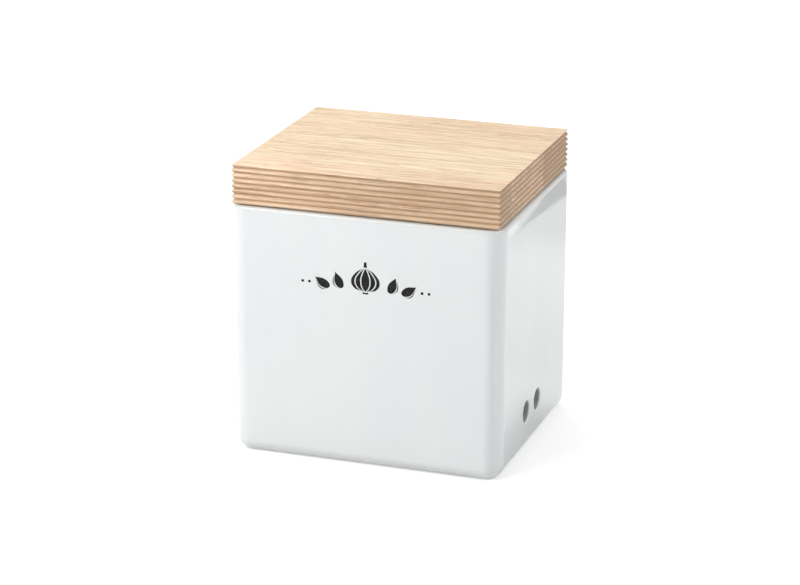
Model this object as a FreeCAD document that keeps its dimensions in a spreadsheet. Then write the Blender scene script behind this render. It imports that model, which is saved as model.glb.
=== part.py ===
"""Garlic keeper: a stoneware jar with vent holes and a lid of three ribbed wooden staves.

Millimetres, +Z up. The origin is under the jar's centre, on the surface that it stands on.
The front is towards -Y. The lid and its seal are drawn round the underside of the lid board
and placed on the jar's rim.
"""
import FreeCAD, Part
import math
import os

import Sketcher
from FreeCAD import Vector

# Driving dimensions, in millimetres: name, value, what it is
SIZES = (
    ("jar_width", 128.0, "across the rim, left to right"),
    ("jar_depth", 110.5, "across the rim, front to back"),
    ("jar_height", 117.0, "foot to rim"),
    ("jar_taper", 0.5, "how far each wall leans in from rim to foot"),
    ("jar_corner", 8.0, "outer radius of the upright corners at the foot"),
    ("rim_wall", 5.5, "thickness of the jar's walls at the rim; the inner walls are upright"),
    ("base_thick", 6.0, "thickness of the jar's floor over the foot"),
    ("inner_corner", 6.0, "inner radius of the upright corners at the mouth"),
    ("floor_round", 5.0, "radius where the inner walls meet the floor"),
    ("bottom_round", 6.0, "radius under the outer walls"),
    ("foot_width", 4.0, "width of the foot ring that the jar stands on"),
    ("foot_corner", 5.0, "corner radius of the hollow inside the foot ring"),
    ("foot_recess", 1.0, "depth of the hollow inside the foot ring"),
    ("rim_round", 1.4, "radius of the rim's outer edge"),
    ("mouth_round", 1.2, "radius of the rim's inner edge"),
    ("vent_diameter", 10.0, "bore of each vent hole"),
    ("vent_spacing", 17.3, "between the two vent holes of a wall"),
    ("vent_height", 19.2, "centre of the vent holes above the foot"),
    ("vent_forward", 4.0, "how far the pair sits towards the front"),
    ("vent_round", 0.7, "radius of the glazed lip of each vent hole"),
    ("vent_chamfer", 0.6, "bevel of each vent hole inside the jar"),
    ("lid_inset", 1.6, "how far the lid's edge stands in from the rim"),
    ("lid_thick", 17.8, "lid board, underside to top"),
    ("lid_corner", 0.4, "bevel that eases the lid's upright corners"),
    ("front_stave", 17.1, "width of the front board"),
    ("middle_stave", 50.4, "width of the middle board"),
    ("groove_pitch", 2.43, "from one groove of the edge to the next"),
    ("groove_depth", 0.9, "depth of the grooves"),
    ("rib_flat", 0.4, "flat left on each rib between two grooves"),
    ("first_groove", 1.1, "centre of the first groove below the top"),
    ("seat_gap", 0.5, "between the lid board and the rim"),
    ("plug_depth", 9.0, "how far the plug reaches below the board"),
    ("plug_clearance", 2.0, "between the plug and the jar's mouth"),
    ("plug_chamfer", 0.8, "lead-in round the bottom of the plug"),
    ("seal_drop", 2.6, "top of the seal groove below the board"),
    ("seal_groove_width", 3.4, "height of the seal groove"),
    ("seal_groove_depth", 1.8, "depth of the seal groove in the plug"),
    ("seal_fit", 0.1, "play of the seal's band in its groove"),
    ("seal_wall_gap", 0.3, "between the lip of the seal and the jar"),
    ("lip_root", 1.0, "thickness of the lip where it leaves the band"),
    ("lip_tip", 0.5, "thickness of the lip at its edge"),
    ("lip_rise", 1.5, "how far the lip climbs as it spreads"),
)
GROOVE_COUNT = 8  # the last one runs half out of the board's underside
CUTTER_REACH = 1.0  # how far a cutting profile stands outside the wood
SAW_MARGIN = 2.0  # how far a stave's slab stands outside the wood
SMALL = 1e-4  # two lengths closer than this are the same

doc = FreeCAD.newDocument("GarlicKeeper")


def make_sheet():
    """Return the spreadsheet that holds every driving dimension under its alias."""
    sheet = doc.addObject("Spreadsheet::Sheet", "Sizes")
    for row, (alias, size, meaning) in enumerate(SIZES, start=1):
        sheet.set("A%d" % row, alias)
        sheet.set("B%d" % row, str(size))
        sheet.set("C%d" % row, meaning)
        sheet.setAlias("B%d" % row, alias)
    doc.recompute()
    return sheet


sheet = make_sheet()


def value(expression):
    """Return the number that an expression of the sheet's sizes gives."""
    return float(sheet.evalExpression(expression))


def origin_feature(body, role):
    """Return a plane or axis of the body's own origin."""
    return next(item for item in body.Origin.OriginFeatures if item.Role == role)


def new_body(name):
    """Return an empty body whose label is the node's name."""
    body = doc.addObject("PartDesign::Body", name)
    body.Label = name
    return body


def new_sketch(body, name, plane="XY_Plane", offset="0"):
    """Return a sketch on one of the body's origin planes, moved along the plane's normal."""
    sketch = body.newObject("Sketcher::SketchObject", name)
    sketch.AttachmentSupport = [(origin_feature(body, plane), "")]
    sketch.MapMode = "FlatFace"
    sketch.setExpression("AttachmentOffset.Base.z", offset)
    return sketch


def constrain(sketch, name, expression, *constraint):
    """Add a driving dimension to the sketch and bind it to the sheet."""
    index = sketch.addConstraint(Sketcher.Constraint(*constraint, value(expression)))
    sketch.renameConstraint(index, name)
    sketch.setExpression("Constraints." + name, expression)


def add_rounded_rectangle(sketch, prefix, width, depth, radius):
    """Draw a rounded rectangle centred on the sketch's origin; its sizes are expressions."""
    half_width, half_depth, round_radius = value(width) / 2, value(depth) / 2, value(radius)
    flat_x, flat_y = half_width - round_radius, half_depth - round_radius
    ends = (
        ((-flat_x, -half_depth), (flat_x, -half_depth)),
        ((half_width, -flat_y), (half_width, flat_y)),
        ((flat_x, half_depth), (-flat_x, half_depth)),
        ((-half_width, flat_y), (-half_width, -flat_y)),
    )
    centres = ((flat_x, -flat_y), (flat_x, flat_y), (-flat_x, flat_y), (-flat_x, -flat_y))
    sides, corners = [], []
    for quarter, ((start, end), centre) in enumerate(zip(ends, centres)):
        line = Part.LineSegment(Vector(*start, 0), Vector(*end, 0))
        circle = Part.Circle(Vector(*centre, 0), Vector(0, 0, 1), round_radius)
        arc = Part.ArcOfCircle(circle, (quarter - 1) * math.pi / 2, quarter * math.pi / 2)
        sides.append(sketch.addGeometry(line))
        corners.append(sketch.addGeometry(arc))
    for quarter in range(4):
        following = (quarter + 1) % 4
        sketch.addConstraint(Sketcher.Constraint("Tangent", sides[quarter], 2, corners[quarter], 1))
        sketch.addConstraint(Sketcher.Constraint("Tangent", corners[quarter], 2, sides[following], 1))
        direction = "Vertical" if quarter % 2 else "Horizontal"
        sketch.addConstraint(Sketcher.Constraint(direction, sides[quarter]))
    for corner in corners[1:]:
        sketch.addConstraint(Sketcher.Constraint("Equal", corners[0], corner))
    sketch.addConstraint(Sketcher.Constraint("Symmetric", sides[0], 1, sides[2], 1, -1, 1))
    constrain(sketch, prefix + "_width", width, "DistanceX", sides[3], 1, sides[1], 1)
    constrain(sketch, prefix + "_depth", depth, "DistanceY", sides[0], 1, sides[2], 1)
    constrain(sketch, prefix + "_radius", radius, "Radius", corners[0])


def outline_sketch(body, name, outline, offset="0", grow="0"):
    """Sketch an outline, a (width, depth, radius) of expressions, grown by a distance."""
    sketch = new_sketch(body, name, offset=offset)
    add_rounded_rectangle(sketch, "outer", *grown(outline, grow))
    return sketch


def ring_sketch(body, name, outline, offset, outer_grow, inner_grow):
    """Sketch the ring between two parallel outlines."""
    sketch = outline_sketch(body, name, outline, offset, outer_grow)
    add_rounded_rectangle(sketch, "inner", *grown(outline, inner_grow))
    return sketch


def grown(outline, distance):
    """Return the expressions of an outline moved outwards by a distance."""
    width, depth, radius = outline
    return (
        "%s + 2 * (%s)" % (width, distance),
        "%s + 2 * (%s)" % (depth, distance),
        "%s + (%s)" % (radius, distance),
    )


def add_feature(body, kind, name, profile, **settings):
    """Add a sketch-based feature; a setting given as text is an expression."""
    feature = body.newObject("PartDesign::" + kind, name)
    feature.Profile = profile
    for key, setting in settings.items():
        if isinstance(setting, str) and key in ("Length", "TaperAngle"):
            feature.setExpression(key, setting)
        else:
            setattr(feature, key, setting)
    doc.recompute()
    return feature


def round_edges(body, name, chosen, radius):
    """Add a fillet to the edges of the tip that a test chooses."""
    return dress_edges(body, "Fillet", name, chosen, "Radius", radius)


def bevel_edges(body, name, chosen, width):
    """Add a chamfer to the edges of the tip that a test chooses."""
    return dress_edges(body, "Chamfer", name, chosen, "Size", width)


def dress_edges(body, kind, name, chosen, size_property, expression):
    """Add a fillet or chamfer whose size is an expression."""
    base = body.Tip
    numbered = enumerate(base.Shape.Edges, start=1)
    edges = ["Edge%d" % number for number, edge in numbered if chosen(edge)]
    feature = body.newObject("PartDesign::" + kind, name)
    feature.Base = (base, edges)
    feature.setExpression(size_property, expression)
    doc.recompute()
    return feature


def at_level(expression):
    """Return a test for edges that lie wholly in the level plane at a height."""
    height = value(expression)
    return lambda edge: max(abs(edge.BoundBox.ZMin - height), abs(edge.BoundBox.ZMax - height)) < SMALL


def is_upright(edge):
    """Tell whether an edge runs straight up."""
    return edge.BoundBox.XLength < SMALL and edge.BoundBox.YLength < SMALL


def inside_rim(inset, corner):
    """Return an outline that lies an inset inside the jar's rim: width, depth and corner radius."""
    return ("(Sizes.jar_width - 2 * (%s))" % inset, "(Sizes.jar_depth - 2 * (%s))" % inset, corner)


JAR_FOOT = inside_rim("Sizes.jar_taper", "Sizes.jar_corner")
FOOT_HOLLOW = inside_rim("Sizes.jar_taper + Sizes.bottom_round + Sizes.foot_width", "Sizes.foot_corner")
MOUTH = inside_rim("Sizes.rim_wall", "Sizes.inner_corner")
LID_WIDTH, LID_DEPTH, LID_CORNER = inside_rim("Sizes.lid_inset", "Sizes.lid_corner")
PLUG = grown(MOUTH, "-Sizes.plug_clearance")
WALL_LEAN = "atan(Sizes.jar_taper / Sizes.jar_height)"
LID_LEVEL = "Sizes.jar_height + Sizes.seat_gap"


def make_jar():
    """The stoneware jar: hollow, standing on a foot ring, with two vent holes in each side wall."""
    body = new_body("jar")
    footprint = outline_sketch(body, "jar_footprint", JAR_FOOT)
    add_feature(body, "Pad", "jar_block", footprint, Length="Sizes.jar_height", TaperAngle=WALL_LEAN)
    round_edges(body, "bottom_rounding", at_level("0"), "Sizes.bottom_round")

    mouth = outline_sketch(body, "jar_mouth", MOUTH, offset="Sizes.jar_height")
    hollow_depth = "Sizes.jar_height - Sizes.base_thick"
    add_feature(body, "Pocket", "jar_hollow", mouth, Length=hollow_depth)
    round_edges(body, "floor_rounding", at_level("Sizes.base_thick"), "Sizes.floor_round")

    recess = outline_sketch(body, "foot_hollow", FOOT_HOLLOW)
    add_feature(body, "Pocket", "foot_recess", recess, Length="Sizes.foot_recess", Reversed=True)

    on_top = at_level("Sizes.jar_height")
    mid_wall_x = value("Sizes.jar_width / 2 - Sizes.rim_wall / 2")
    mid_wall_y = value("Sizes.jar_depth / 2 - Sizes.rim_wall / 2")

    def is_inside(edge):
        middle = edge.CenterOfMass
        return abs(middle.x) < mid_wall_x and abs(middle.y) < mid_wall_y

    round_edges(body, "rim_rounding", lambda edge: on_top(edge) and not is_inside(edge), "Sizes.rim_round")
    round_edges(body, "mouth_rounding", lambda edge: on_top(edge) and is_inside(edge), "Sizes.mouth_round")

    vents = new_sketch(body, "vent_holes", plane="YZ_Plane")
    for name, side in (("front", "-1"), ("rear", "1")):
        across = "%s * Sizes.vent_spacing / 2 - Sizes.vent_forward" % side
        centre = Vector(value(across), value("Sizes.vent_height"), 0)
        hole = vents.addGeometry(Part.Circle(centre, Vector(0, 0, 1), value("Sizes.vent_diameter / 2")))
        constrain(vents, name + "_across", across, "DistanceX", -1, 1, hole, 3)
        constrain(vents, name + "_up", "Sizes.vent_height", "DistanceY", -1, 1, hole, 3)
        constrain(vents, name + "_bore", "Sizes.vent_diameter", "Diameter", hole)
    add_feature(body, "Pocket", "vent_bores", vents, Type="ThroughAll", SideType="Symmetric")
    bore = value("Sizes.vent_diameter")

    def is_vent(edge):
        return edge.isClosed() and abs(edge.BoundBox.YLength - bore) < SMALL

    bevel_edges(body, "vent_bevel", lambda edge: is_vent(edge) and is_inside(edge), "Sizes.vent_chamfer")
    round_edges(body, "vent_rounding", lambda edge: is_vent(edge) and not is_inside(edge), "Sizes.vent_round")
    return body


def make_lid_blank():
    """The glued-up lid before it is told apart into its staves: board, ribbed edge and plug."""
    body = new_body("lid_blank")
    board = body.newObject("PartDesign::AdditiveBox", "board")
    board.setExpression("Length", LID_WIDTH)
    board.setExpression("Width", LID_DEPTH)
    board.setExpression("Height", "Sizes.lid_thick")
    board.setExpression("Placement.Base.x", "-%s / 2" % LID_WIDTH)
    board.setExpression("Placement.Base.y", "-%s / 2" % LID_DEPTH)
    doc.recompute()
    bevel_edges(body, "eased_corners", is_upright, LID_CORNER)

    passes = [
        add_groove_pass(body, "side_groove", "XZ_Plane", LID_WIDTH),
        add_groove_pass(body, "end_groove", "YZ_Plane", LID_DEPTH),
    ]
    pattern = body.newObject("PartDesign::LinearPattern", "grooves")
    pattern.Originals = passes
    pattern.Direction = (origin_feature(body, "Z_Axis"), [""])
    pattern.Reversed = True
    pattern.setExpression("Length", "Sizes.groove_pitch * %d" % (GROOVE_COUNT - 1))
    pattern.Occurrences = GROOVE_COUNT
    body.Tip = pattern
    doc.recompute()

    plug = outline_sketch(body, "plug_outline", PLUG)
    add_feature(body, "Pad", "plug", plug, Length="Sizes.plug_depth", Reversed=True)
    bevel_edges(body, "plug_lead_in", at_level("-Sizes.plug_depth"), "Sizes.plug_chamfer")
    outside, inside = "%g" % CUTTER_REACH, "-Sizes.seal_groove_depth"
    groove_ring = ring_sketch(body, "seal_groove_ring", PLUG, "-Sizes.seal_drop", outside, inside)
    add_feature(body, "Pocket", "seal_groove", groove_ring, Length="Sizes.seal_groove_width")
    return body


def add_groove_pass(body, name, plane, board):
    """Cut the first groove along two opposite sides of the board, straight off its ends."""
    profile = new_sketch(body, name + "_profile", plane=plane)
    for label, side in (("high", 1), ("low", -1)):
        add_groove(profile, label, side, board + " / 2", "Sizes.lid_thick - Sizes.first_groove")
    return add_feature(body, "Pocket", name, profile, Type="ThroughAll", SideType="Symmetric")


def add_groove(sketch, label, side, edge, level):
    """Draw the V of one groove, its point in the board's edge and its mouth just outside it."""
    point = "%s - Sizes.groove_depth" % edge
    reach = "Sizes.groove_depth + %g" % CUTTER_REACH
    spread = "(Sizes.groove_pitch - Sizes.rib_flat) * (1 + %g / Sizes.groove_depth)" % CUTTER_REACH
    middle, half = value(level), value(spread) / 2
    mouth = side * (value(point) + value(reach))
    corners = (
        Vector(side * value(point), middle, 0),
        Vector(mouth, middle - half, 0),
        Vector(mouth, middle + half, 0),
    )
    lines = [sketch.addGeometry(Part.LineSegment(corners[k], corners[(k + 1) % 3])) for k in range(3)]
    for k in range(3):
        sketch.addConstraint(Sketcher.Constraint("Coincident", lines[k], 2, lines[(k + 1) % 3], 1))
    sketch.addConstraint(Sketcher.Constraint("Vertical", lines[1]))
    sketch.addConstraint(Sketcher.Constraint("Equal", lines[0], lines[2]))
    constrain(sketch, label + "_point", point, "DistanceX", *outward(side, (-1, 1), (lines[0], 1)))
    constrain(sketch, label + "_reach", reach, "DistanceX", *outward(side, (lines[0], 1), (lines[0], 2)))
    constrain(sketch, label + "_level", level, "DistanceY", -1, 1, lines[0], 1)
    constrain(sketch, label + "_spread", spread, "DistanceY", lines[1], 1, lines[1], 2)


def outward(side, near, far):
    """Return two sketch points in the order that makes their distance positive."""
    return (*near, *far) if side > 0 else (*far, *near)


def make_stave(name, blank, front, width):
    """One board of the lid: the slab of the blank from `front`, measured from the lid's front edge."""
    slab = doc.addObject("Part::Box", name + "_slab")
    slab.setExpression("Length", LID_WIDTH + " + %g" % (2 * SAW_MARGIN))
    slab.setExpression("Width", width)
    slab.setExpression("Height", "Sizes.lid_thick + Sizes.plug_depth + %g" % (2 * SAW_MARGIN))
    slab.setExpression("Placement.Base.x", "-%s / 2 - %g" % (LID_WIDTH, SAW_MARGIN))
    slab.setExpression("Placement.Base.y", "-%s / 2 + %s" % (LID_DEPTH, front))
    slab.setExpression("Placement.Base.z", "-Sizes.plug_depth - %g" % SAW_MARGIN)
    stave = doc.addObject("Part::Common", name)
    stave.Label = name
    stave.Base = blank
    stave.Tool = slab
    stave.setExpression("Placement.Base.z", LID_LEVEL)
    return stave


def make_seal():
    """The silicone ring: a band in the plug's groove and a lip that spreads up to the jar's wall."""
    body = new_body("lid_seal")
    band_top = "-Sizes.seal_drop - Sizes.seal_fit"
    band = ring_sketch(body, "band_ring", PLUG, band_top, "0", "Sizes.seal_fit - Sizes.seal_groove_depth")
    band_height = "Sizes.seal_groove_width - 2 * Sizes.seal_fit"
    add_feature(body, "Pad", "band", band, Length=band_height, Reversed=True)
    reach = "Sizes.plug_clearance - Sizes.seal_wall_gap"
    root_level = "-Sizes.seal_drop - Sizes.seal_groove_width / 2 - Sizes.lip_rise / 2"
    root = ring_sketch(body, "lip_root_ring", PLUG, root_level, "Sizes.lip_root / 2", "-Sizes.lip_root / 2")
    tip_level = root_level + " + Sizes.lip_rise"
    tip = ring_sketch(body, "lip_tip_ring", PLUG, tip_level, reach, reach + " - Sizes.lip_tip")
    add_feature(body, "AdditiveLoft", "lip", root, Sections=[(tip, [""])], Ruled=True)
    body.setExpression("Placement.Base.z", LID_LEVEL)
    return body


def check_document():
    """Stop if any object failed to build."""
    for item in doc.Objects:
        if "Invalid" in item.State or "Error" in item.State:
            raise RuntimeError("%s did not build: %s" % (item.Name, item.State))


def export(pieces):
    """Check each piece and write it under its label."""
    os.makedirs("parts", exist_ok=True)
    for piece in pieces:
        shape = piece.Shape
        if shape.isNull() or not shape.isValid() or len(shape.Solids) != 1:
            raise RuntimeError("%s is not one valid solid" % piece.Label)
        print("%-18s %10.1f mm3  %s" % (piece.Label, shape.Volume, shape.BoundBox))
    for piece in pieces:
        piece.Shape.exportStep("parts/%s.step" % piece.Label)


blank = make_lid_blank()
rear_stave = LID_DEPTH + " - Sizes.front_stave - Sizes.middle_stave"
pieces = [
    make_jar(),
    make_stave("lid_stave_front", blank, "0", "Sizes.front_stave"),
    make_stave("lid_stave_middle", blank, "Sizes.front_stave", "Sizes.middle_stave"),
    make_stave("lid_stave_rear", blank, "Sizes.front_stave + Sizes.middle_stave", rear_stave),
    make_seal(),
]
doc.recompute()
check_document()
export(pieces)
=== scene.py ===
"""Garlic keeper: glazes the jar, grains the three staves of its lid, prints its front and stages it.

Everything is in metres in the frame of the CAD model: the origin is under the jar's centre, on
the surface that it stands on, the front is towards -Y and up is +Z. The CAD solids keep their
shapes and get their finishes here, the jar as a merged copy that is shaded more smoothly. The
printed garlic on the front is the one piece made here. The cards and shades over the table light
nothing, and show only as reflections in the glaze.
"""

import math

import bpy
from bpy.props import FloatProperty, FloatVectorProperty, PointerProperty
from bpy.types import Operator, Panel, PropertyGroup
from mathutils import Matrix, Vector


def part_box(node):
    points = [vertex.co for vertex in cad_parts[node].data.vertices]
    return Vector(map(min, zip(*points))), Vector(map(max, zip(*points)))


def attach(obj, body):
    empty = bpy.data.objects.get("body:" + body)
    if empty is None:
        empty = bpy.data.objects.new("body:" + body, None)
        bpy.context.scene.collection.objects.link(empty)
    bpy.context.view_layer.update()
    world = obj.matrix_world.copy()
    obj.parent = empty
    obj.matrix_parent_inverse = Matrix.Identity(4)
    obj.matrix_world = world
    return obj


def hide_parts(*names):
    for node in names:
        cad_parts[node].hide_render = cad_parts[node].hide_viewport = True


bl_info = {
    "name": "Garlic Keeper",
    "version": (1, 0, 0),
    "blender": (4, 5, 0),
    "location": "3D View > Sidebar > Garlic Keeper",
    "description": "Finishes and stages a garlic keeper round its CAD model",
    "category": "Object",
}

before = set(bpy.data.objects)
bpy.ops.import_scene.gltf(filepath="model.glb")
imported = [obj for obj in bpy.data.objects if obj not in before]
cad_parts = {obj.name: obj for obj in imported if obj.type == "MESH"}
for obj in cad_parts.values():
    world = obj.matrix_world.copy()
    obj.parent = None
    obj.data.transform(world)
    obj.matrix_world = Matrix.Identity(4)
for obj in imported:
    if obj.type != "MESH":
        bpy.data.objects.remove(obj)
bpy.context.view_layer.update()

JAR_LOW, JAR_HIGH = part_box("jar")
STAVES = ("lid_stave_front", "lid_stave_middle", "lid_stave_rear")
LID_LOW = Vector(map(min, *(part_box(name)[0] for name in STAVES)))
LID_HIGH = Vector(map(max, *(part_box(name)[1] for name in STAVES)))

MM = 0.001
SURFACE_IOR = 1.52  # of the glaze and of the oiled wood
SILICONE_IOR = 1.41
VENT_MIDDLE = -4 * MM  # the middle of each pair of vents, along Y
VENT_SPACING = 17.3 * MM
VENT_HEIGHT = 19.2 * MM
VENT_SHADE_REACH = (5.5 * MM, 6.0 * MM)  # where the painted shade in the vents ends, out from a vent's axis
VENT_SHADE_DEPTH = (0.9 * MM, 1.5 * MM)  # where it begins, in from the side wall
PAINTED_RIM_SHADE_SPAN = (1.7 * MM, 0.7 * MM)  # below the rim's top, where the painted shade over the rim starts and where it is full

# How each board was sawn: the heart of its tree (across, up from the foot), the spacing of its
# year rings, a shift that makes its flecks its own, how far its colour leans from straw to pink,
# how pale its cut ends are and how much paler it gets towards its left end
SAWN = {
    "lid_stave_front": {"heart": (0.095, -0.060), "ring": 1.6 * MM, "shift": 0.72,
                        "pink": 0.72, "pale": 0.93, "fade": 0.19},
    "lid_stave_middle": {"heart": (-0.060, 0.060), "ring": 2.0 * MM, "shift": 0.84,
                         "pink": 0.15, "pale": 1.40, "fade": 0.00},
    "lid_stave_rear": {"heart": (0.120, 0.020), "ring": 1.7 * MM, "shift": 0.57,
                       "pink": 0.50, "pale": 0.84, "fade": 0.03},
}

# The printed garlic, in millimetres: each shape is a ring of four or eight points, (across, up,
# pointed). The half bulb is mirrored. Cloves and dots stand at (across, up, turn) on each side.
NECK = ((-0.60, 7.4, 1), (-0.80, 5.1, 1), (0.80, 5.1, 1), (0.50, 7.7, 1))
MIDDLE_CLOVE = ((0.0, 4.7, 1), (1.1, 2.3, 0), (1.9, -1.4, 0), (1.2, -4.6, 0),
                (0.0, -6.1, 1), (-1.2, -4.6, 0), (-1.9, -1.4, 0), (-1.1, 2.3, 0))
ROOTS = ((-1.4, -6.75, 0), (0.0, -6.6, 0), (1.4, -6.75, 0), (0.0, -7.3, 0))
HALF_BULB = (
    ((0.5, 4.7, 1), (2.9, 2.1, 0), (4.6, -1.4, 0), (3.3, -4.6, 0),
     (0.5, -6.2, 1), (1.75, -4.6, 0), (2.45, -1.4, 0), (1.65, 2.3, 0)),
    ((1.1, 4.7, 1), (4.6, 2.2, 0), (6.7, -1.7, 0), (5.2, -4.8, 0),
     (1.8, -6.0, 1), (3.9, -4.6, 0), (5.15, -1.5, 0), (3.5, 2.1, 0)),
)
CLOVE = (
    ((0.2, 4.3, 1), (2.2, -0.9, 0), (0.0, -3.6, 0), (-1.7, -0.9, 0)),
    ((1.1, 3.4, 1), (3.2, -0.7, 0), (1.6, -3.4, 1), (2.75, -0.9, 0)),
)
CLOVE_PLACES = ((12.4, -2.2, -22), (20.0, -3.6, -58))
DOT = ((-0.65, 0.0, 0), (0.0, 0.65, 0), (0.65, 0.0, 0), (0.0, -0.65, 0))
DOT_PLACES = ((26.4, -4.0, 0), (29.6, -4.0, 0))

# The lamps: where each stands, the point that it faces, the side of its square and its power
SOFTBOXES = {
    "top_softbox": ((-0.45, 0.45, 1.05), (0, 0, 0.13), 0.9, 5.3),
    "left_softbox": ((-0.49, -0.61, 0.71), (0, 0, 0.06), 0.6, 7.0),
    "right_softbox": ((1.08, 0.16, 0.85), (0, 0, 0.06), 0.7, 6.3),
}

# The table glows a little where it is seen, and more so far away, so that it shows as white
GLOW_DISTANCE = (0.20, 0.80)
GLOW_STRENGTH = (0.44, 0.95)

# What the glaze mirrors over the table. A card is even: its corners (across, back) and its
# brightness. A shade is soft: it runs out from its root at a turn in degrees, over a size (out,
# to each side), and from the given shares of that size it fades from darkest to the table.
CARDS = {
    "grey_card": (((0.164, 0.305), (0.1665, 0.361), (0.155, 0.388), (0.187, 0.480)), 0.05),
    "white_card": (((0.167, 0.270), (0.200, 0.270), (0.1645, 0.312), (0.200, 0.380)), 1.4),
}
SHADES = {
    "foot_shade": {"root": (0.064, -0.030), "turn": 0, "size": (0.033, 0.110),
                   "fades": (0, 0.3), "darkest": 0.36},
    "rim_shade": {"root": (0.155, 0.460), "turn": -90, "size": (0.195, 0.060),
                  "fades": (0.68, 0.8), "darkest": 0.90},
    "corner_shade": {"root": (0.056, -0.047), "turn": -49, "size": (0.350, 0.120),
                     "fades": (0.60, 0.15), "darkest": 0.35, "fan": True},
}
MIRRORED_TABLE = 1.15  # how bright the lit table shows in the glaze
CARD_HEIGHT = 0.5 * MM
SHADE_HEIGHT = 0.3 * MM
FAN_ROOT = 0.05  # how wide a fanning shade starts, as a share of its full width


class KeeperGlaze(PropertyGroup):
    """The jar's glaze, the bare clay of its foot, and the painted shade over its rim and in its vents.
    """
    colour: FloatVectorProperty(
        name="Glaze", description="Colour of the glaze", subtype="COLOR",
        min=0, max=1, default=(0.800, 0.822, 0.818))
    pooled: FloatVectorProperty(
        name="Pooled glaze", description="Colour where the glaze ran thicker", subtype="COLOR",
        min=0, max=1, default=(0.768, 0.800, 0.802))
    # Painted shade: a greyer colour over the rim, which dims the rim's highlight
    painted_rim_shade: FloatVectorProperty(
        name="Thin glaze", description="Colour where the glaze thins over the rim", subtype="COLOR",
        min=0, max=1, default=(0.700, 0.708, 0.692))
    bare_clay: FloatVectorProperty(
        name="Bare clay", description="Colour of the unglazed foot ring", subtype="COLOR",
        min=0, max=1, default=(0.640, 0.600, 0.535))
    # Painted shade: the greyer colour inside the vents stands in for the shade there
    painted_vent_shade: FloatVectorProperty(
        name="Vent bores", description="Colour of the thin glaze inside the vents", subtype="COLOR",
        min=0, max=1, default=(0.420, 0.415, 0.390))
    bare_height: FloatProperty(
        name="Bare height", description="How far the foot is left unglazed", unit="LENGTH",
        min=0, default=0.7 * MM)
    ripple: FloatProperty(
        name="Ripple", description="Depth of the slow ripple in the glaze", unit="LENGTH",
        min=0, default=0.015 * MM)


class KeeperWood(PropertyGroup):
    """The oiled wood of the lid."""
    straw: FloatVectorProperty(
        name="Straw", description="Colour of the paler early wood", subtype="COLOR",
        min=0, max=1, default=(0.772, 0.634, 0.425))
    pink: FloatVectorProperty(
        name="Pink", description="Colour that the warmer boards lean to", subtype="COLOR",
        min=0, max=1, default=(0.740, 0.530, 0.370))
    late: FloatVectorProperty(
        name="Late wood", description="Colour of the dark line of each year ring", subtype="COLOR",
        min=0, max=1, default=(0.470, 0.300, 0.165))
    pore: FloatVectorProperty(
        name="Pores", description="Colour of the open pores", subtype="COLOR",
        min=0, max=1, default=(0.340, 0.165, 0.095))
    end_grain: FloatVectorProperty(
        name="End grain", description="Colour that the cut ends lean to", subtype="COLOR",
        min=0, max=1, default=(0.560, 0.420, 0.330))
    pore_width: FloatProperty(
        name="Pore width", description="Spacing of the pores across the grain", unit="LENGTH",
        min=0.0001, default=0.45 * MM)
    pore_length: FloatProperty(
        name="Pore length", description="Length of the pores along the grain", unit="LENGTH",
        min=0.0001, default=9 * MM)
    # The painted shade and browning in the grooves reach down this deep
    groove_depth: FloatProperty(
        name="Groove depth", description="Depth of the grooves that the cutter browned",
        unit="LENGTH", min=0.0001, default=0.9 * MM)


class KeeperSeal(PropertyGroup):
    """The silicone ring round the plug."""
    colour: FloatVectorProperty(
        name="Silicone", description="Colour of the silicone", subtype="COLOR",
        min=0, max=1, default=(0.740, 0.745, 0.735))
    dust: FloatVectorProperty(
        name="Dust", description="Colour of the dust that clings to it", subtype="COLOR",
        min=0, max=1, default=(0.50, 0.49, 0.47))


class KeeperPrint(PropertyGroup):
    """The garlic printed on the front of the jar."""
    ink: FloatVectorProperty(
        name="Ink", description="Colour of the fired print", subtype="COLOR",
        min=0, max=1, default=(0.012, 0.012, 0.013))
    across: FloatProperty(
        name="Across", description="Middle of the print from the jar's middle", unit="LENGTH",
        default=1.2 * MM)
    height: FloatProperty(
        name="Height", description="Middle of the print above the foot", unit="LENGTH",
        default=89.6 * MM)
    thickness: FloatProperty(
        name="Thickness", description="How far the print stands on the glaze", unit="LENGTH",
        min=0.00001, default=0.05 * MM)
    wall_lean: FloatProperty(
        name="Wall lean", description="How far the front wall leans in over its height",
        unit="LENGTH", default=0.5 * MM)


class KeeperStage(PropertyGroup):
    """The photographer's table, lamps and camera."""
    floor_colour: FloatVectorProperty(
        name="Floor", description="Colour of the floor", subtype="COLOR",
        min=0, max=1, default=(0.72, 0.72, 0.72))
    floor_size: FloatProperty(
        name="Floor size", description="Side of the square floor", unit="LENGTH", default=8)
    sky: FloatProperty(
        name="Sky", description="Strength of the even light from all round", default=0.40)
    camera_place: FloatVectorProperty(
        name="Camera", description="Where the camera stands", subtype="TRANSLATION",
        default=(0.38644, -1.11887, 0.46537))
    camera_aim: FloatVectorProperty(
        name="Aim", description="The point that the camera looks at", subtype="TRANSLATION",
        default=(0.00379, -0.01603, 0.07100))
    camera_lens: FloatProperty(
        name="Lens", description="Focal length on a 36 mm sensor", unit="CAMERA", default=121.8)


# Node trees


def add_node(tree, kind, values=None, **settings):
    """Add a node; values go to its unlinked inputs and settings to its own properties."""
    node = tree.nodes.new("ShaderNode" + kind)
    for key, setting in settings.items():
        setattr(node, key, setting)
    for key, setting in (values or {}).items():
        if isinstance(setting, bpy.types.NodeSocket):
            tree.links.new(setting, node.inputs[key])
        else:
            node.inputs[key].default_value = setting
    return node


def calc(tree, operation, first, second=0.0, clamp=False):
    """Return the result of a Math node."""
    values = {0: first, 1: second}
    return add_node(tree, "Math", values, operation=operation, use_clamp=clamp).outputs[0]


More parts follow.
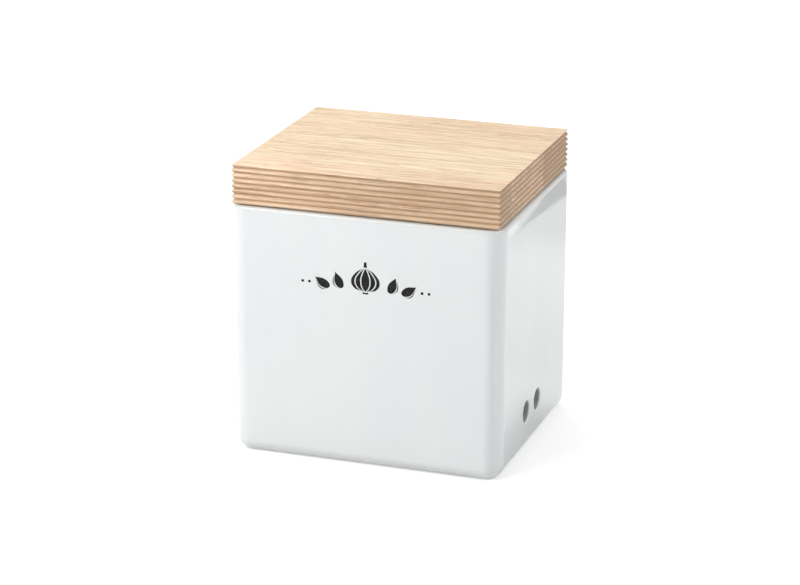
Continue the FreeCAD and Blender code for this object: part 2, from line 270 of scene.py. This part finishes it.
def ramp(tree, value, low, high, to_low=0.0, to_high=1.0):
    """Return a value mapped smoothly from one range to another."""
    values = {"Value": value, "From Min": low, "From Max": high, "To Min": to_low, "To Max": to_high}
    return add_node(tree, "MapRange", values, interpolation_type="SMOOTHSTEP").outputs["Result"]


def blend(tree, share, first, second, mode="MIX"):
    """Return a mix of two colours."""
    node = add_node(tree, "Mix", data_type="RGBA", blend_type=mode)
    for socket, setting in ((node.inputs[0], share), (node.inputs[6], first), (node.inputs[7], second)):
        if isinstance(setting, bpy.types.NodeSocket):
            tree.links.new(setting, socket)
        elif socket.type == "RGBA":
            socket.default_value = (*setting, 1)
        else:
            socket.default_value = setting
    return node.outputs[2]


def stretched(tree, coordinates, scale, shift=(0, 0, 0)):
    """Return coordinates scaled and shifted by a Mapping node."""
    values = {"Vector": coordinates, "Scale": scale, "Location": shift}
    return add_node(tree, "Mapping", values).outputs["Vector"]


def toned(colour, factor):
    """Return a colour made darker or lighter by a factor, up to full."""
    return tuple(min(1, factor * channel) for channel in colour)


def noise(tree, coordinates, scale, detail=2.0, roughness=0.5):
    """Return the value of a Noise texture with a scale in patterns to a unit of its coordinates."""
    values = {"Vector": coordinates, "Scale": scale, "Detail": detail, "Roughness": roughness}
    return add_node(tree, "TexNoise", values).outputs["Fac"]


def bumped(tree, height, distance, normal=None):
    """Return the normal of a surface raised by a height times a distance in metres."""
    values = {"Height": height, "Distance": distance, "Strength": 1}
    if normal is not None:
        values["Normal"] = normal
    return add_node(tree, "Bump", values).outputs["Normal"]


def new_material(name):
    """Return a material, its tree, its Principled shader and its Object coordinates."""
    material = bpy.data.materials.new(name)
    material.use_nodes = True
    tree = material.node_tree
    shader = tree.nodes["Principled BSDF"]
    coordinates = add_node(tree, "TexCoord").outputs["Object"]
    return material, tree, shader, coordinates


def lay_out(tree):
    """Place the nodes in columns, each one left of what it feeds."""
    column = {}

    def visit(node, depth):
        """Note the column of a node and of all that feeds it."""
        if column.get(node, -1) < depth:
            column[node] = depth
            for socket in node.inputs:
                for link in socket.links:
                    visit(link.from_node, depth + 1)

    for node in tree.nodes:
        if not any(socket.links for socket in node.outputs):
            visit(node, 0)
    rows = {}
    for node, depth in column.items():
        rows[depth] = rows.get(depth, 0) + 1
        node.location = (-240 * depth, -260 * rows[depth])


def deselect():
    """Leave nothing selected."""
    bpy.ops.object.select_all(action="DESELECT")


def wear(node_name, material):
    """Give a CAD node a material in each of its slots."""
    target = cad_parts[node_name]
    if not target.material_slots:
        target.data.materials.append(material)
    for slot in target.material_slots:
        slot.material = material


def glazed_copy(node_name, name):
    """Return a merged copy of a CAD node that is shaded smoothly from its flats into its bends."""
    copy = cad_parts[node_name].copy()
    copy.data = copy.data.copy()
    copy.parent = None
    copy.name = copy.data.name = name
    bpy.context.scene.collection.objects.link(copy)
    for key in [key for key in copy.keys() if key.startswith("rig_")]:
        del copy[key]
    deselect()
    copy.select_set(True)
    bpy.context.view_layer.objects.active = copy
    bpy.ops.object.mode_set(mode="EDIT")
    bpy.ops.mesh.select_all(action="SELECT")
    bpy.ops.mesh.remove_doubles(threshold=0.002 * MM)
    bpy.ops.object.mode_set(mode="OBJECT")
    bpy.ops.mesh.customdata_custom_splitnormals_clear()
    bpy.ops.object.shade_smooth_by_angle(angle=math.radians(40))
    weighted = copy.modifiers.new("flats_stay_flat", "WEIGHTED_NORMAL")
    weighted.keep_sharp = True
    bpy.ops.object.modifier_apply(modifier=weighted.name)
    return copy


# Finishes


def glaze_material(glaze):
    """A thick glossy glaze over stoneware, wiped off the foot ring, with painted shade over the rim and
    in the vents.
    """
    material, tree, shader, place = new_material("white_glaze")
    axes = add_node(tree, "SeparateXYZ", {0: place})
    height = axes.outputs["Z"]

    # The glaze ran down and pooled. Over the rim a greyer colour is painted shade, which dims the rim's
    # highlight.
    run = noise(tree, stretched(tree, place, (1, 1, 0.45)), 26, detail=3)
    glazed = blend(tree, ramp(tree, run, 0.35, 0.72), glaze.colour, glaze.pooled)
    rim = ramp(tree, height, JAR_HIGH.z - PAINTED_RIM_SHADE_SPAN[0], JAR_HIGH.z - PAINTED_RIM_SHADE_SPAN[1])
    glazed = blend(tree, rim, glazed, glaze.painted_rim_shade)

    # Painted shade in the vents' bores: a greyer colour where they lie in shade
    from_middle = calc(tree, "ABSOLUTE", calc(tree, "SUBTRACT", axes.outputs["Y"], VENT_MIDDLE))
    from_axis = calc(tree, "SUBTRACT", from_middle, VENT_SPACING / 2)
    above_axis = calc(tree, "SUBTRACT", height, VENT_HEIGHT)
    reach = calc(tree, "ADD", calc(tree, "POWER", from_axis, 2), calc(tree, "POWER", above_axis, 2))
    in_vent = ramp(tree, calc(tree, "SQRT", reach), *VENT_SHADE_REACH, 1, 0)
    depth = calc(tree, "SUBTRACT", JAR_HIGH.x, calc(tree, "ABSOLUTE", axes.outputs["X"]))
    painted_vent_shade = calc(tree, "MULTIPLY", in_vent, ramp(tree, depth, *VENT_SHADE_DEPTH))
    glazed = blend(tree, calc(tree, "MULTIPLY", painted_vent_shade, 0.75), glazed, glaze.painted_vent_shade)

    # The foot is bare clay, up to the uneven line that the glaze was wiped off to
    clay_grain = noise(tree, place, 2600, detail=4, roughness=0.7)
    clay = blend(tree, clay_grain, glaze.bare_clay, toned(glaze.bare_clay, 0.72))
    wiped_edge = calc(tree, "MULTIPLY", noise(tree, place, 160, detail=3), 0.6 * MM)
    wiped_height = calc(tree, "SUBTRACT", height, wiped_edge)
    bare = ramp(tree, wiped_height, glaze.bare_height - 0.5 * MM, glaze.bare_height - 0.2 * MM, 1, 0)
    tree.links.new(blend(tree, bare, glazed, clay), shader.inputs["Base Color"])

    # Faint smudges on the glaze, and dry clay
    smudges = ramp(tree, noise(tree, place, 34, detail=4, roughness=0.6), 0.3, 0.8, 0.02, 0.06)
    dry = calc(tree, "MULTIPLY", bare, 0.75)
    tree.links.new(calc(tree, "ADD", smudges, dry, clamp=True), shader.inputs["Roughness"])

    # A slow ripple and a fine peel in the glaze, and grit in the clay
    ripple = bumped(tree, noise(tree, place, 42, detail=1), glaze.ripple)
    grit = calc(tree, "MULTIPLY", calc(tree, "MULTIPLY", clay_grain, bare), 4)
    peel = calc(tree, "MULTIPLY", noise(tree, place, 420, detail=1), 0.05)
    surface = calc(tree, "ADD", grit, peel)
    tree.links.new(bumped(tree, surface, 0.02 * MM, normal=ripple), shader.inputs["Normal"])
    shader.inputs["IOR"].default_value = SURFACE_IOR
    lay_out(tree)
    return material


def wood_material(name, wood, sawn):
    """Straight-grained oiled wood, solid all through, so that the cut ends show its year rings."""
    material, tree, shader, place = new_material(name)
    across, up = sawn["heart"]
    shift = sawn["shift"]
    own = stretched(tree, place, (1, 1, 1), (shift, shift / 3, -shift / 2))

    # Year rings round the heart, out of true because the grain wanders slowly along the board
    drift = noise(tree, stretched(tree, own, (0.14, 1, 1)), 22, detail=2)
    drift = calc(tree, "MULTIPLY", calc(tree, "SUBTRACT", drift, 0.5), 9 * MM)
    axes = add_node(tree, "SeparateXYZ", {0: place})
    drifted_y = calc(tree, "ADD", calc(tree, "SUBTRACT", axes.outputs["Y"], across), drift)
    drifted_z = calc(tree, "SUBTRACT", axes.outputs["Z"], up)
    squared = calc(tree, "ADD", calc(tree, "POWER", drifted_y, 2), calc(tree, "POWER", drifted_z, 2))
    radius = calc(tree, "SQRT", squared)
    year = calc(tree, "FRACT", calc(tree, "DIVIDE", radius, sawn["ring"]))
    late = calc(tree, "MULTIPLY", ramp(tree, year, 0.35, 0.93), ramp(tree, year, 0.95, 1.0, 1, 0))
    year_strength = ramp(tree, noise(tree, stretched(tree, own, (0.1, 1, 1)), 160, detail=1), 0.3, 0.75)
    late = calc(tree, "MULTIPLY", late, year_strength)

    # Long streaks, fibres and open pores, all drawn out along the board. The pores are open in
    # clusters, and a little more so on the upright faces.
    def along(width, length):
        """Return coordinates in which a pattern has this width and length."""
        return stretched(tree, own, (1 / length, 1 / width, 1 / width))

    streaks = noise(tree, along(1.0 * MM, 42 * MM), 1, detail=3, roughness=0.7)
    fibres = noise(tree, along(0.45 * MM, 14 * MM), 1, detail=2, roughness=0.6)
    flecks = noise(tree, along(wood.pore_width, wood.pore_length), 1, detail=1)
    facing = add_node(tree, "TexCoord").outputs["Normal"]
    facings = add_node(tree, "SeparateXYZ", {0: facing})
    cut_end = ramp(tree, calc(tree, "ABSOLUTE", facings.outputs["X"]), 0.35, 0.60)
    upright = ramp(tree, calc(tree, "ABSOLUTE", facings.outputs["Z"]), 0.80, 0.95, 1, 0)
    flecks = calc(tree, "ADD", flecks, calc(tree, "MULTIPLY", upright, 0.04))
    pores = ramp(tree, flecks, 0.60, 0.70)
    clusters = noise(tree, along(7 * MM, 60 * MM), 1, detail=2)
    pores = calc(tree, "MULTIPLY", pores, ramp(tree, clusters, 0.38, 0.62, 0.25, 1))

    # From straw to pink, paler towards the left end, and greyer on the cut ends
    tone = noise(tree, along(16 * MM, 160 * MM), 1, detail=2)
    tone = calc(tree, "ADD", ramp(tree, tone, 0.3, 0.7, -0.25, 0.25), sawn["pink"], clamp=True)
    colour = blend(tree, tone, wood.straw, wood.pink)
    from_left = ramp(tree, axes.outputs["X"], LID_LOW.x, 0.3 * LID_HIGH.x, 1, 0)
    faded = (1 + sawn["fade"],) * 3
    colour = blend(tree, from_left, colour, faded, "MULTIPLY")
    end_colour = toned(wood.end_grain, sawn["pale"])
    colour = blend(tree, calc(tree, "MULTIPLY", cut_end, 0.7), colour, end_colour)
    colour = blend(tree, ramp(tree, streaks, 0.47, 0.65, 0, 0.75), colour, wood.late)
    colour = blend(tree, ramp(tree, fibres, 0.42, 0.72, 0, 0.38), colour, wood.late)
    colour = blend(tree, calc(tree, "MULTIPLY", late, 0.60), colour, wood.late)
    colour = blend(tree, calc(tree, "MULTIPLY", pores, 0.85), colour, wood.pore)

    # Painted shade and the cutter's browning: the bottoms of the grooves are darker, the cut ends more
    # than the rest
    inset_x = calc(tree, "SUBTRACT", LID_HIGH.x, calc(tree, "ABSOLUTE", axes.outputs["X"]))
    inset_y = calc(tree, "SUBTRACT", LID_HIGH.y, calc(tree, "ABSOLUTE", axes.outputs["Y"]))
    inset = calc(tree, "MINIMUM", inset_x, inset_y)
    burn_and_shade_strength = calc(tree, "ADD", calc(tree, "MULTIPLY", cut_end, 0.15), 0.72)
    deep = ramp(tree, inset, 0.15 * wood.groove_depth, 0.95 * wood.groove_depth)
    groove_burn_and_shade = calc(tree, "MULTIPLY", calc(tree, "MULTIPLY", deep, burn_and_shade_strength), upright)
    burn_and_shade_colour = blend(tree, cut_end, wood.late, toned(wood.late, 0.80))
    tree.links.new(blend(tree, groove_burn_and_shade, colour, burn_and_shade_colour), shader.inputs["Base Color"])

    # Pores and cut ends are rougher. The fibres stand up, the pores and the late wood lie lower.
    rough = ramp(tree, streaks, 0.3, 0.7, 0.42, 0.55)
    rough = calc(tree, "ADD", rough, calc(tree, "MULTIPLY", pores, 0.2))
    rough = calc(tree, "ADD", rough, calc(tree, "MULTIPLY", cut_end, 0.15))
    tree.links.new(rough, shader.inputs["Roughness"])
    relief = calc(tree, "SUBTRACT", calc(tree, "MULTIPLY", fibres, 0.5), pores)
    relief = calc(tree, "SUBTRACT", relief, calc(tree, "MULTIPLY", late, 0.3))
    tree.links.new(bumped(tree, relief, 0.06 * MM), shader.inputs["Normal"])
    shader.inputs["IOR"].default_value = SURFACE_IOR
    lay_out(tree)
    return material


def silicone_material(seal):
    """Milky silicone with a satin skin and a little dust."""
    material, tree, shader, place = new_material("milky_silicone")
    cloud = noise(tree, place, 60, detail=3)
    milky = blend(tree, cloud, seal.colour, toned(seal.colour, 0.93))
    dust = ramp(tree, noise(tree, place, 1800, detail=2), 0.68, 0.74, 0, 0.4)
    tree.links.new(blend(tree, dust, milky, seal.dust), shader.inputs["Base Color"])
    tree.links.new(ramp(tree, cloud, 0.3, 0.7, 0.38, 0.52), shader.inputs["Roughness"])
    tree.links.new(bumped(tree, noise(tree, place, 1500, detail=3), 0.01 * MM), shader.inputs["Normal"])
    shader.inputs["Subsurface Weight"].default_value = 0.25
    shader.inputs["Subsurface Scale"].default_value = 1 * MM
    shader.inputs["IOR"].default_value = SILICONE_IOR
    lay_out(tree)
    return material


def ink_material(print_settings):
    """Black ink fired into the glaze, a little uneven and almost as glossy."""
    material, tree, shader, place = new_material("fired_ink")
    uneven = noise(tree, place, 700, detail=3)
    ink = print_settings.ink
    worn = ramp(tree, uneven, 0.35, 0.75)
    tree.links.new(blend(tree, worn, ink, toned(ink, 2.2)), shader.inputs["Base Color"])
    tree.links.new(ramp(tree, uneven, 0.3, 0.7, 0.16, 0.30), shader.inputs["Roughness"])
    tree.links.new(bumped(tree, noise(tree, place, 2200, detail=2), 0.004 * MM), shader.inputs["Normal"])
    shader.inputs["Specular IOR Level"].default_value = 0.12
    lay_out(tree)
    return material


# Pieces


def glaze_jar(glaze):
    """Model the jar under its coat of glaze, which softens every edge into the next face."""
    jar = glazed_copy("jar", "glazed_jar")
    jar.data.materials.clear()
    jar.data.materials.append(glaze_material(glaze))
    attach(jar, "jar")
    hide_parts("jar")


def add_flat_shape(points, place=(0, 0, 0), mirrored=False):
    """Add a filled curve through a ring of points, turned and moved to its place."""
    deselect()
    bpy.ops.curve.primitive_bezier_circle_add(radius=1)
    shape = bpy.context.object
    if len(points) == 8:
        bpy.ops.object.mode_set(mode="EDIT")
        bpy.ops.curve.select_all(action="SELECT")
        bpy.ops.curve.subdivide(number_cuts=1)
        bpy.ops.object.mode_set(mode="OBJECT")
    swing = Matrix.Rotation(math.radians(place[2]), 2)
    side = -1 if mirrored else 1
    for knot, (across, up, pointed) in zip(shape.data.splines[0].bezier_points, points):
        turned = swing @ Vector((across, up))
        knot.handle_left_type = knot.handle_right_type = "VECTOR" if pointed else "AUTO"
        knot.co = (side * (turned.x + place[0]) * MM, (turned.y + place[1]) * MM, 0)
    return shape


def print_garlic(print_settings):
    """Model the printed bulb between its cloves."""
    shapes = [add_flat_shape(points) for points in (NECK, MIDDLE_CLOVE, ROOTS)]
    for mirrored in (False, True):
        shapes += [add_flat_shape(points, mirrored=mirrored) for points in HALF_BULB]
        for place in CLOVE_PLACES:
            shapes += [add_flat_shape(points, place, mirrored) for points in CLOVE]
        shapes += [add_flat_shape(DOT, place, mirrored) for place in DOT_PLACES]
    deselect()
    for shape in shapes:
        shape.select_set(True)
    bpy.context.view_layer.objects.active = shapes[0]
    bpy.ops.object.join()
    printed = bpy.context.object
    printed.name = printed.data.name = "garlic_print"
    printed.data.dimensions = "2D"
    printed.data.fill_mode = "BOTH"
    printed.data.resolution_u = 10
    printed.data.extrude = print_settings.thickness
    bpy.ops.object.convert(target="MESH")
    printed = bpy.context.object

    lean = math.atan(print_settings.wall_lean / JAR_HIGH.z)
    wall_y = JAR_LOW.y + (JAR_HIGH.z - print_settings.height) * math.tan(lean)
    printed.rotation_euler = (math.pi / 2 + lean, 0, 0)
    printed.location = (print_settings.across, wall_y, print_settings.height)
    bpy.ops.object.transform_apply(location=True, rotation=True, scale=True)
    bpy.ops.object.mode_set(mode="EDIT")
    bpy.ops.mesh.select_all(action="SELECT")
    bpy.ops.mesh.remove_doubles(threshold=0.001 * MM)
    bpy.ops.mesh.normals_make_consistent(inside=False)
    bpy.ops.object.mode_set(mode="OBJECT")
    printed.data.materials.clear()
    printed.data.materials.append(ink_material(print_settings))
    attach(printed, "jar")


def add_softbox(name, place, aim, side, power):
    """Add a square area lamp that faces a point."""
    deselect()
    bpy.ops.object.light_add(type="AREA", location=place)
    lamp = bpy.context.object
    lamp.name = name
    lamp.rotation_euler = (Vector(aim) - Vector(place)).to_track_quat("-Z", "Y").to_euler()
    lamp.data.shape = "SQUARE"
    lamp.data.size = side
    lamp.data.energy = power


def seen_directly(tree):
    """Return 1 for rays from the camera, off gloss or through glass, and 0 for the rest."""
    path = add_node(tree, "LightPath")
    shown = calc(tree, "MAXIMUM", path.outputs["Is Camera Ray"], path.outputs["Is Glossy Ray"])
    return calc(tree, "MAXIMUM", shown, path.outputs["Is Transmission Ray"])


def set_world(stage):
    """An even sky that lights the keeper, and shows as plain white."""
    world = bpy.data.worlds.new("white_studio")
    bpy.context.scene.world = world
    world.use_nodes = True
    tree = world.node_tree
    tree.nodes["Background"].inputs["Color"].default_value = (1, 1, 1, 1)
    strength = ramp(tree, seen_directly(tree), 0, 1, stage.sky, 1)
    tree.links.new(strength, tree.nodes["Background"].inputs["Strength"])
    lay_out(tree)


def set_floor(stage):
    """A matt white table that keeps the keeper's shadow."""
    deselect()
    bpy.ops.mesh.primitive_plane_add(size=stage.floor_size)
    floor = bpy.context.object
    floor.name = "table"
    material, tree, shader, place = new_material("white_table")
    grain = noise(tree, place, 300, detail=3)
    tint = stage.floor_colour
    tree.links.new(blend(tree, grain, tint, toned(tint, 0.985)), shader.inputs["Base Color"])
    shader.inputs["Roughness"].default_value = 0.9
    shader.inputs["Specular IOR Level"].default_value = 0.1
    afar = add_node(tree, "VectorMath", {0: place}, operation="LENGTH").outputs["Value"]
    glow = ramp(tree, afar, *GLOW_DISTANCE, *GLOW_STRENGTH)
    glow = calc(tree, "MULTIPLY", seen_directly(tree), glow)
    shader.inputs["Emission Color"].default_value = (1, 1, 1, 1)
    tree.links.new(glow, shader.inputs["Emission Strength"])
    lay_out(tree)
    floor.data.materials.append(material)


def add_reflected(name, outline, place):
    """Add a flat shape close over the table that only shows as a reflection in the glaze."""
    deselect()
    bpy.ops.mesh.primitive_plane_add(location=place)
    card = bpy.context.object
    card.name = name
    for vertex, (across, back) in zip(card.data.vertices, outline):
        vertex.co = (across, back, 0)
    material, tree, shader, coordinates = new_material(name)
    shader.inputs["Base Color"].default_value = (0, 0, 0, 1)
    shader.inputs["Specular IOR Level"].default_value = 0
    shader.inputs["Emission Color"].default_value = (1, 1, 1, 1)
    card.data.materials.append(material)
    card.visible_camera = card.visible_diffuse = card.visible_shadow = False
    return card, tree, shader, coordinates


def add_card(name, outline, brightness):
    """Lay an even card over the table."""
    shader = add_reflected(name, outline, (0, 0, CARD_HEIGHT))[2]
    shader.inputs["Emission Strength"].default_value = brightness


def add_shade(name, root, turn, size, fades, darkest, fan=False):
    """Lay a soft shade that runs out from its root, as wide as its size or fanning out to it."""
    inner = FAN_ROOT if fan else 0
    width = FAN_ROOT if fan else 1
    outline = ((inner, -width), (1, -1), (inner, width), (1, 1))
    card, tree, shader, coordinates = add_reflected(name, outline, (*root, SHADE_HEIGHT))
    card.rotation_euler.z = math.radians(turn)
    card.scale.xy = size
    axes = add_node(tree, "SeparateXYZ", {0: coordinates})
    aside = calc(tree, "ABSOLUTE", axes.outputs["Y"])
    if fan:
        aside = calc(tree, "DIVIDE", aside, axes.outputs["X"])
    out_clear = ramp(tree, axes.outputs["X"], fades[0], 1)
    side_clear = ramp(tree, aside, fades[1], 1)
    clear = calc(tree, "MAXIMUM", out_clear, side_clear)
    brightness = ramp(tree, clear, 0, 1, darkest, MIRRORED_TABLE)
    tree.links.new(brightness, shader.inputs["Emission Strength"])
    lay_out(tree)


def set_camera(stage):
    """Put the camera where the photographer stood."""
    deselect()
    bpy.ops.object.camera_add(location=stage.camera_place)
    camera = bpy.context.object
    view = Vector(stage.camera_aim) - Vector(stage.camera_place)
    camera.rotation_euler = view.to_track_quat("-Z", "Y").to_euler()
    camera.data.sensor_width = 36
    camera.data.lens = stage.camera_lens
    bpy.context.scene.camera = camera


# Operators


class KEEPER_OT_glaze_jar(Operator):
    """Make the glazed jar"""
    bl_idname = "keeper.glaze_jar"
    bl_label = "Glaze Jar"

    def execute(self, context):
        glaze_jar(context.scene.keeper_glaze)
        return {"FINISHED"}


class KEEPER_OT_grain_lid(Operator):
    """Give each stave of the lid its own wood"""
    bl_idname = "keeper.grain_lid"
    bl_label = "Grain Lid"

    def execute(self, context):
        for name in STAVES:
            material_name = name.replace("lid_stave", "oiled_wood")
            wear(name, wood_material(material_name, context.scene.keeper_wood, SAWN[name]))
        return {"FINISHED"}


class KEEPER_OT_cast_seal(Operator):
    """Give the seal its silicone"""
    bl_idname = "keeper.cast_seal"
    bl_label = "Cast Seal"

    def execute(self, context):
        wear("lid_seal", silicone_material(context.scene.keeper_seal))
        return {"FINISHED"}


class KEEPER_OT_print_garlic(Operator):
    """Print the garlic on the front of the jar"""
    bl_idname = "keeper.print_garlic"
    bl_label = "Print Garlic"

    def execute(self, context):
        print_garlic(context.scene.keeper_print)
        return {"FINISHED"}


class KEEPER_OT_set_stage(Operator):
    """Set the table, the lamps and the camera"""
    bl_idname = "keeper.set_stage"
    bl_label = "Set Stage"

    def execute(self, context):
        stage = context.scene.keeper_stage
        context.scene.view_settings.view_transform = "Standard"
        set_world(stage)
        set_floor(stage)
        for name, settings in SOFTBOXES.items():
            add_softbox(name, *settings)
        for name, settings in CARDS.items():
            add_card(name, *settings)
        for name, settings in SHADES.items():
            add_shade(name, **settings)
        set_camera(stage)
        return {"FINISHED"}


class KEEPER_PT_sidebar(Panel):
    """Lists the steps and the settings of the keeper"""
    bl_label = "Garlic Keeper"
    bl_idname = "KEEPER_PT_sidebar"
    bl_space_type = "VIEW_3D"
    bl_region_type = "UI"
    bl_category = "Garlic Keeper"

    def draw(self, context):
        layout = self.layout
        for name, (settings, operator) in STEPS.items():
            box = layout.box()
            group = getattr(context.scene, name)
            for key in settings.__annotations__:
                box.prop(group, key)
            box.operator(operator.bl_idname)


STEPS = {
    "keeper_glaze": (KeeperGlaze, KEEPER_OT_glaze_jar),
    "keeper_wood": (KeeperWood, KEEPER_OT_grain_lid),
    "keeper_seal": (KeeperSeal, KEEPER_OT_cast_seal),
    "keeper_print": (KeeperPrint, KEEPER_OT_print_garlic),
    "keeper_stage": (KeeperStage, KEEPER_OT_set_stage),
}


def register():
    """Register the classes and hang the settings on the scene."""
    for name, (settings, operator) in STEPS.items():
        bpy.utils.register_class(settings)
        bpy.utils.register_class(operator)
        setattr(bpy.types.Scene, name, PointerProperty(type=settings))
    bpy.utils.register_class(KEEPER_PT_sidebar)


def unregister():
    """Take off again what register put on."""
    bpy.utils.unregister_class(KEEPER_PT_sidebar)
    for name, (settings, operator) in reversed(STEPS.items()):
        delattr(bpy.types.Scene, name)
        bpy.utils.unregister_class(operator)
        bpy.utils.unregister_class(settings)


def main():
    """Make every piece and the stage."""
    register()
    bpy.ops.keeper.glaze_jar()
    bpy.ops.keeper.grain_lid()
    bpy.ops.keeper.cast_seal()
    bpy.ops.keeper.print_garlic()
    bpy.ops.keeper.set_stage()


if __name__ == "__main__":
    main()
